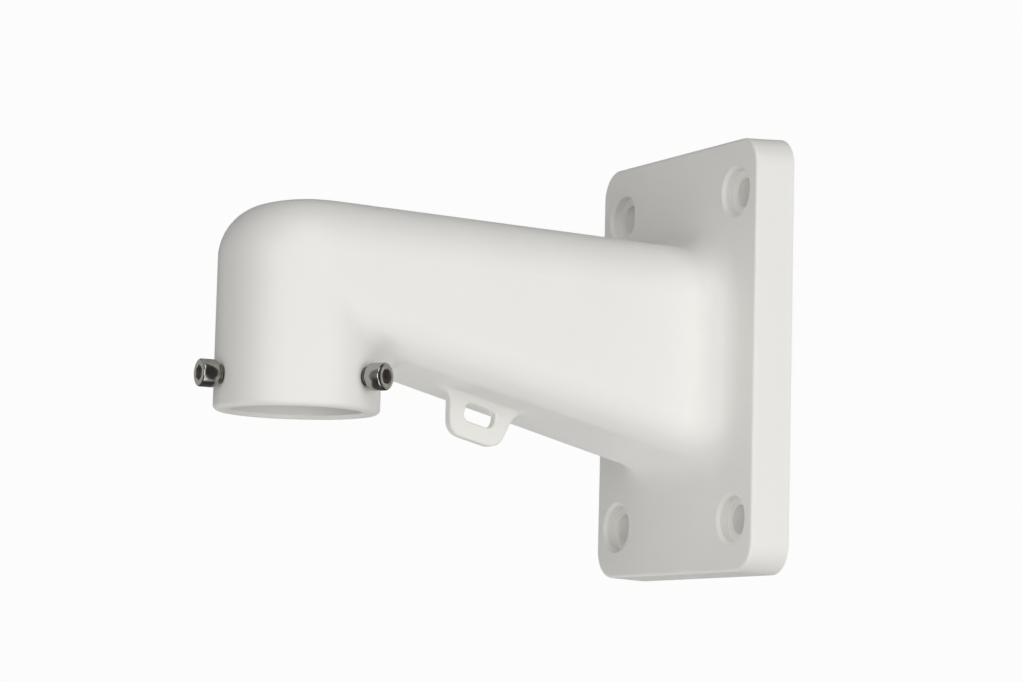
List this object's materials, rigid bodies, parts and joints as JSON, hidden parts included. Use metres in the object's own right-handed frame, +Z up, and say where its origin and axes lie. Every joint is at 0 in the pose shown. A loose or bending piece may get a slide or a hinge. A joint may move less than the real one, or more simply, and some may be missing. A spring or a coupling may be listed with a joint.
{
  "type": "camera wall bracket",
  "caption": "Cast wall bracket for a dome camera: hollow arm that turns down into a round collar with lock screws, wall plate with sunk bolt holes, safety-rope ear.",
  "frame": {"origin": "centre of the wall plate's back face, in the plane of the wall and midway between the four bolt holes", "axes": "+Z up, +Y into the wall, the arm reaches out along -Y, +X across; the bracket is the same on both sides of X = 0"},
  "size_m": [0.114, 0.2124, 0.163],
  "materials": {
    "powder_coat": "white powder coat, satin",
    "screw_steel": "bright stainless steel, turned"
  },
  "bodies": {
    "casting": {"bracket_casting": "powder_coat"},
    "screw_front": {"lock_screw_front": "screw_steel"},
    "screw_right": {"lock_screw_right": "screw_steel"},
    "screw_left": {"lock_screw_left": "screw_steel"}
  },
  "joints": [
    {"name": "lock_screw_front_turn_in", "type": "slide", "parent": "casting", "child": "screw_front", "axis": [0, 1, 0], "range_m": [-0.004, 0.0023]},
    {"name": "lock_screw_right_turn_in", "type": "slide", "parent": "casting", "child": "screw_right", "axis": [-0.866, -0.5, 0], "range_m": [-0.004, 0.0023]},
    {"name": "lock_screw_left_turn_in", "type": "slide", "parent": "casting", "child": "screw_left", "axis": [0.866, -0.5, 0], "range_m": [-0.004, 0.0023]}
  ]
}
